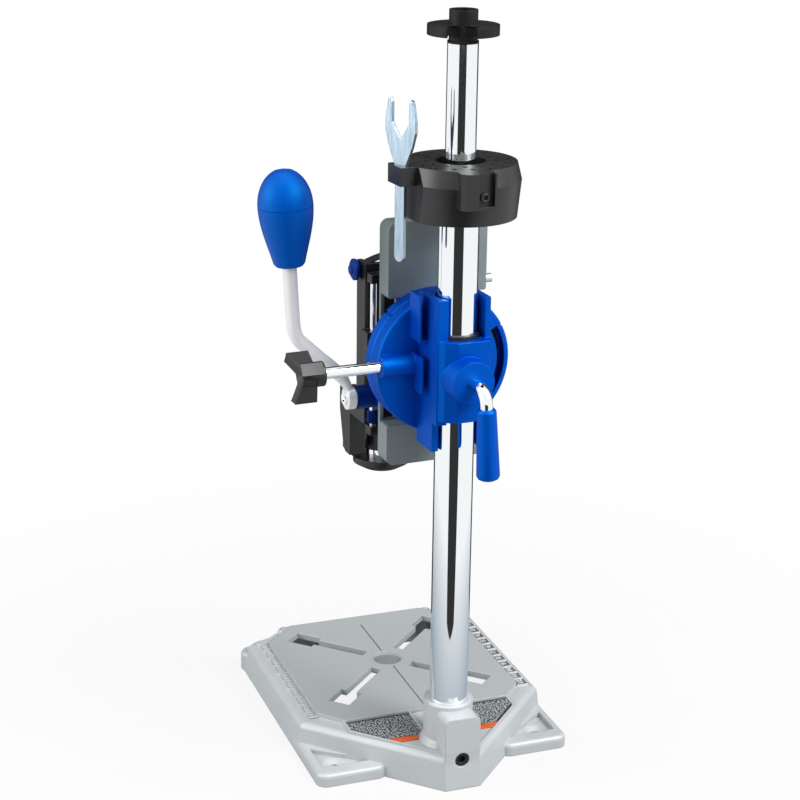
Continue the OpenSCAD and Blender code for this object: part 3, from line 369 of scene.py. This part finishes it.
def digits(labels, places, size, rise, turn):
    """Raised numbers as triangles: each outline, filled and thickened, turned flat, put at its place."""
    all_points, all_faces, count = [], [], 0
    spin = np.array(Matrix.Rotation(math.radians(turn), 3, "Z"))
    for label, place in zip(labels, places):
        curve = bpy.data.curves.new("number", "FONT")
        curve.body = label
        curve.size = size
        curve.extrude = rise / 2
        curve.offset = 0.02 * size
        curve.resolution_u = 3
        curve.align_x = "CENTER"
        curve.align_y = "CENTER"
        holder = bpy.data.objects.new("number", curve)
        mesh = bpy.data.meshes.new_from_object(holder)
        mesh.calc_loop_triangles()
        points = np.empty(3 * len(mesh.vertices))
        mesh.vertices.foreach_get("co", points)
        faces = np.empty(3 * len(mesh.loop_triangles), dtype=int)
        mesh.loop_triangles.foreach_get("vertices", faces)
        all_points.append(points.reshape(-1, 3) @ spin.T + place)
        all_faces.append(faces.reshape(-1, 3) + count)
        count += len(mesh.vertices)
        bpy.data.objects.remove(holder)
        bpy.data.meshes.remove(mesh)
        bpy.data.curves.remove(curve)
    return np.concatenate(all_points), np.concatenate(all_faces)


class STAND_OT_table(bpy.types.Operator):
    """Paints the table and raises its ruler marks"""

    bl_idname = "stand.table"
    bl_label = "Table"

    # Share of its rise that a mark is sunk into the ledge
    sunk = 0.2

    def execute(self, context):
        colours = context.scene.stand_colours
        sizes = context.scene.stand_rulers
        paint = painted_casting("silver_paint_on_die_casting", "#b7bcbe", colours.paint, 0.5,
                                self.zones(colours, sizes))
        dress(paint, "base")
        dress(speckled_film("speckled_film", 1.6 * MM), "panel_inlays")
        dress(moulded("orange_film", "#cf5a24", "#dd7238", roughness=0.5, grain=0.4, depth=0.01),
              "panel_stripes")
        dress(moulded("blackened_steel", "#0e0e0f", "#1c1c1d", roughness=0.4, grain=0.5, depth=0.02),
              "socket_set_screw")
        # Paler paint on the raised marks and numbers: a painted highlight on their tops
        rubbed = painted_casting("silver_marks_painted_highlight", "#cdd1d3", "#dbdedf", 0.5, edge=0.15)
        self.inch_ruler(sizes, rubbed)
        self.centimetre_ruler(sizes, rubbed)
        return {"FINISHED"}

    def zones(self, colours, sizes):
        """The ground table top, with painted shade on the floors of its recess and grooves and in darker
        strips under the rulers.
        """
        everywhere = (0, 1, 0, 1)
        span = ((sizes.back + sizes.front) / 2, (sizes.back - sizes.front) / 2 + MM)
        half = sizes.strip / 2
        return (Zone(TABLE_Z, *everywhere, colours.ground, "#b0b5b7"),
                # Painted shade: darker floor in the table's recess
                Zone(RECESS_Z, *everywhere, "#7c8285", "#8d9396"),
                # Painted shade: darker floor in the grooves
                Zone(GROOVE_Z, *everywhere, "#5d6366", "#6f7578"),
                # Painted shade: darker strips on the ledges where the raised ruler marks cast shade
                Zone(LEDGE_Z, -TABLE_HALF - half, half, *span, "#596064", "#70777a"),
                Zone(LEDGE_Z, TABLE_HALF, sizes.inch_strip, *span, "#83898c", "#949a9d"))

    def inch_ruler(self, sizes, paint):
        """Marks at each eighth of an inch on the +X ledge, longer at halves, longest at whole inches."""
        step = INCH / 8
        parts = np.arange(int((sizes.back - sizes.front) / step) + 1)
        y = sizes.front + parts * step
        length = np.select([parts % 8 == 0, parts % 4 == 0], [8.6 * MM, 7 * MM], 5.6 * MM)
        self.marks("inch_marks", 1, y, length, sizes.width, sizes.rise, paint)
        beside = y[parts % 8 == 0] + 2.6 * MM
        self.numbers("inch_numbers", 1, beside, 7.4 * MM, 3.4 * MM, sizes.rise, paint)

    def centimetre_ruler(self, sizes, paint):
        """A broad mark at each centimetre on the -X ledge, with its number between the marks."""
        y = sizes.back - np.arange(int((sizes.back - sizes.front) / CM) + 1) * CM
        length = np.full_like(y, 8.4 * MM)
        self.marks("centimetre_marks", -1, y, length, 1.8 * sizes.width, sizes.rise, paint)
        between = y[1:] + CM / 2
        self.numbers("centimetre_numbers", -1, between, 4.6 * MM, 5.6 * MM, sizes.rise, paint)

    def marks(self, name, side, y, length, width, rise, paint):
        """One row of bars that start at the table's step and stand on the ledge."""
        x = side * (TABLE_HALF + length / 2)
        z = np.full_like(y, LEDGE_Z + (1 - self.sunk) / 2 * rise)
        spans = np.stack([length, np.full_like(y, width), np.full_like(y, (1 + self.sunk) * rise)], -1)
        points, faces = bars(np.stack([x, y, z], -1), spans)
        mesh_object(name, points, faces, paint, "base_body")

    def numbers(self, name, side, y, out, size, rise, paint):
        """One row of numbers on the ledge, counted from the front."""
        y = np.sort(y)
        x = np.full_like(y, side * (TABLE_HALF + out))
        z = np.full_like(y, LEDGE_Z + (1 - self.sunk) / 2 * rise)
        labels = [str(i + 1) for i in range(len(y))]
        points, faces = digits(labels, np.stack([x, y, z], -1), size, (1 + self.sunk) * rise, 90 * side)
        mesh_object(name, points, faces, paint, "base_body")


class STAND_OT_metal(bpy.types.Operator):
    """Gives the tubes, rods, wrench and screws their metal"""

    bl_idname = "stand.metal"
    bl_label = "Metal parts"

    def execute(self, context):
        dress(polished_chrome("polished_chrome_plate"), "lower_column", "upper_column",
              "clamp_lever_rod", "tilt_lock_rod", "guide_rods", "feed_lever_screw", "nose_nut")
        dress(ground_steel("bright_sheet_steel", "#7a92a4", "#bccbd6", 0.35, (1, 1, 0.04)), "wrench")
        dress(ground_steel("machined_steel", "#a9aeb2", "#eef2f5", 0.32, (0.1, 1, 1)),
              "tilt_lock_nut", "pivot_bolt", "frame_screws", "rod_lock_screws", "pinion", "feed_rack")
        dress(painted_casting("light_grey_enamel", "#e4e4e4", "#efefef", 0.36), "feed_lever")
        return {"FINISHED"}


class STAND_OT_mouldings(bpy.types.Operator):
    """Gives the moulded parts their plastic"""

    bl_idname = "stand.mouldings"
    bl_label = "Moulded parts"

    def execute(self, context):
        colours = context.scene.stand_colours
        sky = "#00a8ff"
        soot, worn_soot = "#0e0f10", "#151617"
        dress(moulded("blue_glass_filled_nylon", colours.blue, "#0034ac", roughness=0.5, grain=0.5,
                      depth=0.02, gloss=1.0, tint=sky, ior=2.0, metallic=0.2),
              "carriage", "tilt_disc", "clamp_lever_grip")
        # A darker copy of the head's blue for small parts that sit in shadow: painted shade
        dress(moulded("blue_nylon_painted_shade", "#04206a", "#082a80", roughness=0.4, grain=0.5, depth=0.02,
                      gloss=0.3, tint=sky),
              "pinion_housing", "depth_stop_nut", "strap_thumbscrew")
        dress(moulded("satin_blue_knob", colours.knob, "#003aa2", roughness=0.55, grain=0.8, depth=0.05,
                      edge=0.1, gloss=1.0, tint=sky, ior=1.8),
              "feed_lever_knob")
        dress(moulded("black_abs", colours.black, "#202124", roughness=0.36, grain=0.45, depth=0.03),
              "ring_clamp_screw", "column_liner", "clamp_pad", "friction_ring", "rod_plates",
              "tool_slide", "tool_strap", "nose_sleeve", "column_bush")
        dress(moulded("glossy_black_abs", soot, worn_soot, roughness=0.4, grain=0.6, depth=0.03,
                      edge=0.3, gloss=0.55),
              "accessory_ring", "tilt_lock_knob")
        dress(moulded("matt_black_abs", soot, worn_soot, roughness=0.5, grain=0.6, depth=0.04, gloss=0.2),
              "top_hanger")
        dress(moulded("grey_abs", colours.grey, "#7f898a", roughness=0.4, grain=0.6, depth=0.03),
              "holder_frame")
        return {"FINISHED"}


def background_rays(tree):
    """Two outputs: 1 for rays from mirrors and glass, and 1 for those and the camera's own rays."""
    path = add(tree, "LightPath")
    mirror = add(tree, "Math", {"operation": "MAXIMUM"},
                 {0: path.outputs["Is Glossy Ray"], 1: path.outputs["Is Transmission Ray"]})
    seen = add(tree, "Math", {"operation": "MAXIMUM"},
               {0: path.outputs["Is Camera Ray"], 1: mirror.outputs[0]})
    return mirror.outputs[0], seen.outputs[0]


class STAND_OT_stage(bpy.types.Operator):
    """Builds the floor, the lights and the camera"""

    bl_idname = "stand.stage"
    bl_label = "Stage"

    # Half of the floor's side, where its shade starts to fade and where it ends, in metres
    floor_half = 4.0
    shade_near = 0.12
    shade_far = 0.5

    # Half of the dark band before the tubes: degrees off the camera's line, and metres from the tubes
    band_tip = 0.22
    band_side = ((20, 0.25), (24, 0.4), (27, 0.9), (27, floor_half))

    # Lamps: name, place, size in metres, power in watts
    soft_boxes = (("soft_box_left", (1.6, 0.0, 0.85), 1.0, 19),
                  ("soft_box_right", (-0.95, 1.15, 1.5), 1.0, 40),
                  ("soft_box_top", (0.1, 0.3, 1.9), 1.2, 13))
    lamp_target = (0, 0.08, 0.25)

    def execute(self, context):
        settings = context.scene.stand_studio
        self.floor()
        self.flags(math.radians(settings.azimuth))
        self.world(settings)
        self.lamps()
        self.camera(settings)
        context.scene.view_settings.view_transform = "Standard"
        return {"FINISHED"}

    def sheet(self, name, corners, material):
        """A flat stage piece with the corners given."""
        mesh = bpy.data.meshes.new(name)
        mesh.from_pydata(corners, [], [list(range(len(corners)))])
        mesh.materials.append(material)
        piece = bpy.data.objects.new(name, mesh)
        bpy.context.scene.collection.objects.link(piece)
        return piece

    def floor(self):
        """White paper floor with a soft shadow that fades outwards; in mirrors a painted shadow, greyer
        near the stand.
        """
        material, tree, shader = blank("white_paper", {"Base Color": linear("#c6c6c5"), "Roughness": 0.9})
        mirror, seen = background_rays(tree)
        away = add(tree, "VectorMath", {"operation": "LENGTH"},
                   {0: add(tree, "TexCoord").outputs["Object"]})
        reach = {"Value": away.outputs["Value"], "From Min": self.shade_near, "From Max": self.shade_far}
        fade = add(tree, "MapRange", None, {**reach, "To Min": 0.86, "To Max": 1.0})
        near = add(tree, "MapRange", None, {**reach, "To Min": 1.0, "To Max": 0.0})
        share = add(tree, "Math", {"operation": "MULTIPLY"}, {0: seen, 1: fade.outputs["Result"]})
        # Painted shadow seen in mirrors: near the stand the floor's glow turns grey-blue
        cool = add(tree, "Math", {"operation": "MULTIPLY"}, {0: mirror, 1: near.outputs["Result"]})
        shade = add(tree, "Mix", {"data_type": "RGBA"},
                    {"Factor": cool.outputs[0], 6: WHITE, 7: linear("#8b9cab")})
        glow = add(tree, "Emission", None, {"Color": shade.outputs[2]})
        mix = add(tree, "MixShader", None,
                  {"Fac": share.outputs[0], 1: shader.outputs[0], 2: glow.outputs[0]})
        tree.links.new(mix.outputs[0], tree.nodes["Material Output"].inputs["Surface"])
        r = self.floor_half
        self.sheet("floor", [(-r, -r, 0), (r, -r, 0), (r, r, 0), (-r, r, 0)], material)

    def flags(self, azimuth):
        """Dark cards that only mirrors see. The camera looks at the stand's back, so its front is far.

        The first lies on the floor towards the camera and draws the dark band down the tubes, the second
        lies beyond the stand and greys the tubes' edges, and the third stands there and keeps the
        grazing reflections of the plastics dark.
        """
        def spot(angle, reach, z=2 * MM):
            a = azimuth + math.radians(angle)
            return COLUMN_AXIS.x + reach * math.sin(a), COLUMN_AXIS.y - reach * math.cos(a), z

        far = self.floor_half
        band = [spot(0, self.band_tip)] + [spot(angle, reach) for angle, reach in self.band_side]
        band += [spot(-angle, reach) for angle, reach in reversed(self.band_side)]
        edges = [spot(136, 0.3), spot(136, far), spot(224, far), spot(224, 0.3)]
        front = [spot(130, 2.2, 0.02), spot(230, 2.2, 0.02), spot(230, 2.2, 2.4), spot(130, 2.2, 2.4)]
        for name, corners, shade in (("band_card", band, 0.033), ("edge_card", edges, 0.06),
                                     ("front_card", front, 0.1)):
            material = blank(name, {"Base Color": BLACK, "Roughness": 1.0, "Specular IOR Level": 0.0,
                                    "Emission Color": WHITE, "Emission Strength": shade})[0]
            card = self.sheet(name, corners, material)
            card.visible_camera = False
            card.visible_diffuse = False
            card.visible_transmission = False
            card.visible_shadow = False

    def world(self, settings):
        """White to the camera and in mirrors, dimmer as light."""
        world = bpy.data.worlds.new("studio")
        bpy.context.scene.world = world
        world.use_nodes = True
        tree = world.node_tree
        seen = background_rays(tree)[1]
        level = add(tree, "MapRange", None, {"Value": seen, "To Min": settings.ambient, "To Max": 1.0})
        back = tree.nodes["Background"]
        back.inputs["Color"].default_value = WHITE
        tree.links.new(level.outputs["Result"], back.inputs["Strength"])

    def lamps(self):
        """Two large soft boxes beside the camera and one overhead, all turned to the stand."""
        for name, place, size, power in self.soft_boxes:
            data = bpy.data.lights.new(name, "AREA")
            data.shape = "SQUARE"
            data.size = size
            data.energy = power
            lamp = bpy.data.objects.new(name, data)
            lamp.location = place
            aim = Vector(self.lamp_target) - lamp.location
            lamp.rotation_euler = aim.to_track_quat("-Z", "Y").to_euler()
            bpy.context.scene.collection.objects.link(lamp)

    def camera(self, settings):
        """Camera at the photograph's place: its axes come from azimuth, elevation and roll."""
        a, e, r = (math.radians(v) for v in (settings.azimuth, settings.elevation, settings.roll))
        back = Vector((math.sin(a) * math.cos(e), -math.cos(a) * math.cos(e), math.sin(e)))
        right = Vector((math.cos(a), math.sin(a), 0))
        up = back.cross(right)
        right, up = right * math.cos(r) + up * math.sin(r), up * math.cos(r) - right * math.sin(r)
        data = bpy.data.cameras.new("camera")
        data.lens = settings.lens
        data.sensor_width = 36
        camera = bpy.data.objects.new("camera", data)
        turn = Matrix((right, up, back)).transposed().to_4x4()
        camera.matrix_world = Matrix.Translation(settings.place) @ turn
        bpy.context.scene.collection.objects.link(camera)
        bpy.context.scene.camera = camera


class STAND_PT_panel(bpy.types.Panel):
    """Lists the stand's operators as buttons"""

    bl_label = "Drill Stand"
    bl_idname = "STAND_PT_panel"
    bl_space_type = "VIEW_3D"
    bl_region_type = "UI"
    bl_category = "Drill Stand"

    def draw(self, context):
        for operator in OPERATORS:
            self.layout.operator(operator.bl_idname)


OPERATORS = (STAND_OT_table, STAND_OT_metal, STAND_OT_mouldings, STAND_OT_stage)
CLASSES = (StandColours, RulerSizes, StudioSettings, *OPERATORS, STAND_PT_panel)


def register():
    for cls in CLASSES:
        bpy.utils.register_class(cls)
    bpy.types.Scene.stand_colours = bpy.props.PointerProperty(type=StandColours)
    bpy.types.Scene.stand_rulers = bpy.props.PointerProperty(type=RulerSizes)
    bpy.types.Scene.stand_studio = bpy.props.PointerProperty(type=StudioSettings)


def unregister():
    del bpy.types.Scene.stand_studio
    del bpy.types.Scene.stand_rulers
    del bpy.types.Scene.stand_colours
    for cls in reversed(CLASSES):
        bpy.utils.unregister_class(cls)


def main():
    register()
    bpy.ops.stand.table()
    bpy.ops.stand.metal()
    bpy.ops.stand.mouldings()
    bpy.ops.stand.stage()


if __name__ == "__main__":
    main()
